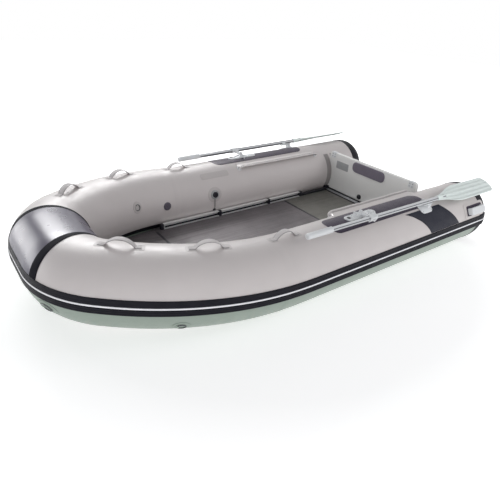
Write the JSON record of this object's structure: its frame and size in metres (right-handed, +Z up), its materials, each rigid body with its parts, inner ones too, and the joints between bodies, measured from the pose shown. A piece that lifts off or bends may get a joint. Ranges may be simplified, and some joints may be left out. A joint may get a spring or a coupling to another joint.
{
  "type": "inflatable boat",
  "caption": "Open inflatable boat with a U-shaped buoyancy tube, an aluminium floor, a board transom for a small outboard motor and oars that swing on rowlocks.",
  "frame": {"origin": "under the middle of the hull, on the plane that the side tubes stand on", "axes": "+X towards the bow, +Y to port, +Z up"},
  "size_m": [3.2, 1.7538, 0.5507],
  "materials": {
    "hull_fabric": "light warm grey coated fabric",
    "navy_fabric": "glossy navy coated fabric",
    "bottom_fabric": "pale grey-green coated fabric",
    "black_rubber": "moulded rubber",
    "white_stripe": "inlaid stripe",
    "floor_metal": "ribbed aluminium",
    "bright_metal": "anodised aluminium",
    "black_plastic": "moulded plastic",
    "white_board": "painted marine plywood",
    "pad_plastic": "moulded pad",
    "pale_plastic": "moulded plastic",
    "webbing": "coated webbing",
    "steel": "stainless wire"
  },
  "bodies": {
    "hull": {"side_tube_port": "hull_fabric", "side_tube_starboard": "hull_fabric", "shoulder_tube_port": "hull_fabric", "shoulder_tube_starboard": "hull_fabric", "bow_tube": "hull_fabric", "stern_caps": "black_rubber", "bow_cap": "navy_fabric", "strake_upper_band": "black_rubber", "strake_lower_band": "black_rubber", "strake_stripe": "white_stripe", "aft_bands": "navy_fabric", "hull_bottom": "bottom_fabric", "floor_panel_aft": "floor_metal", "floor_panel_middle": "floor_metal", "floor_panel_bow": "floor_metal", "stringers": "bright_metal", "stringer_joints": "black_plastic", "transom": "white_board", "transom_profile": "bright_metal", "motor_pad_inner": "pad_plastic", "motor_pad_outer": "pad_plastic", "drain_plug": "pale_plastic", "transom_brackets": "pale_plastic", "rowlock_port": "pale_plastic", "rowlock_starboard": "pale_plastic", "chafe_pads": "pad_plastic", "oar_clips": "pale_plastic", "grab_straps_port": "webbing", "grab_straps_starboard": "webbing", "seat_rails": "hull_fabric", "inflation_valves": "pad_plastic", "relief_valves": "black_plastic", "inner_rings": "steel", "lifting_rings": "steel", "tow_rings": "steel", "carry_handles": "pale_plastic"},
    "oar_port": {"oar_shaft_port": "bright_metal", "oar_grip_port": "pale_plastic", "oar_blade_port": "pale_plastic", "oar_collar_port": "pale_plastic"},
    "oar_starboard": {"oar_shaft_starboard": "bright_metal", "oar_grip_starboard": "pale_plastic", "oar_blade_starboard": "pale_plastic", "oar_collar_starboard": "pale_plastic"}
  },
  "joints": [
    {"name": "oar_port_swing", "type": "hinge", "parent": "hull", "child": "oar_port", "pos_m": [-0.29, 0.657, 0.4624], "axis": [0, -0.0698, -0.9976], "range_deg": [0, 130]},
    {"name": "oar_starboard_swing", "type": "hinge", "parent": "hull", "child": "oar_starboard", "pos_m": [-0.29, -0.657, 0.4624], "axis": [0, -0.0698, 0.9976], "range_deg": [0, 130]}
  ]
}
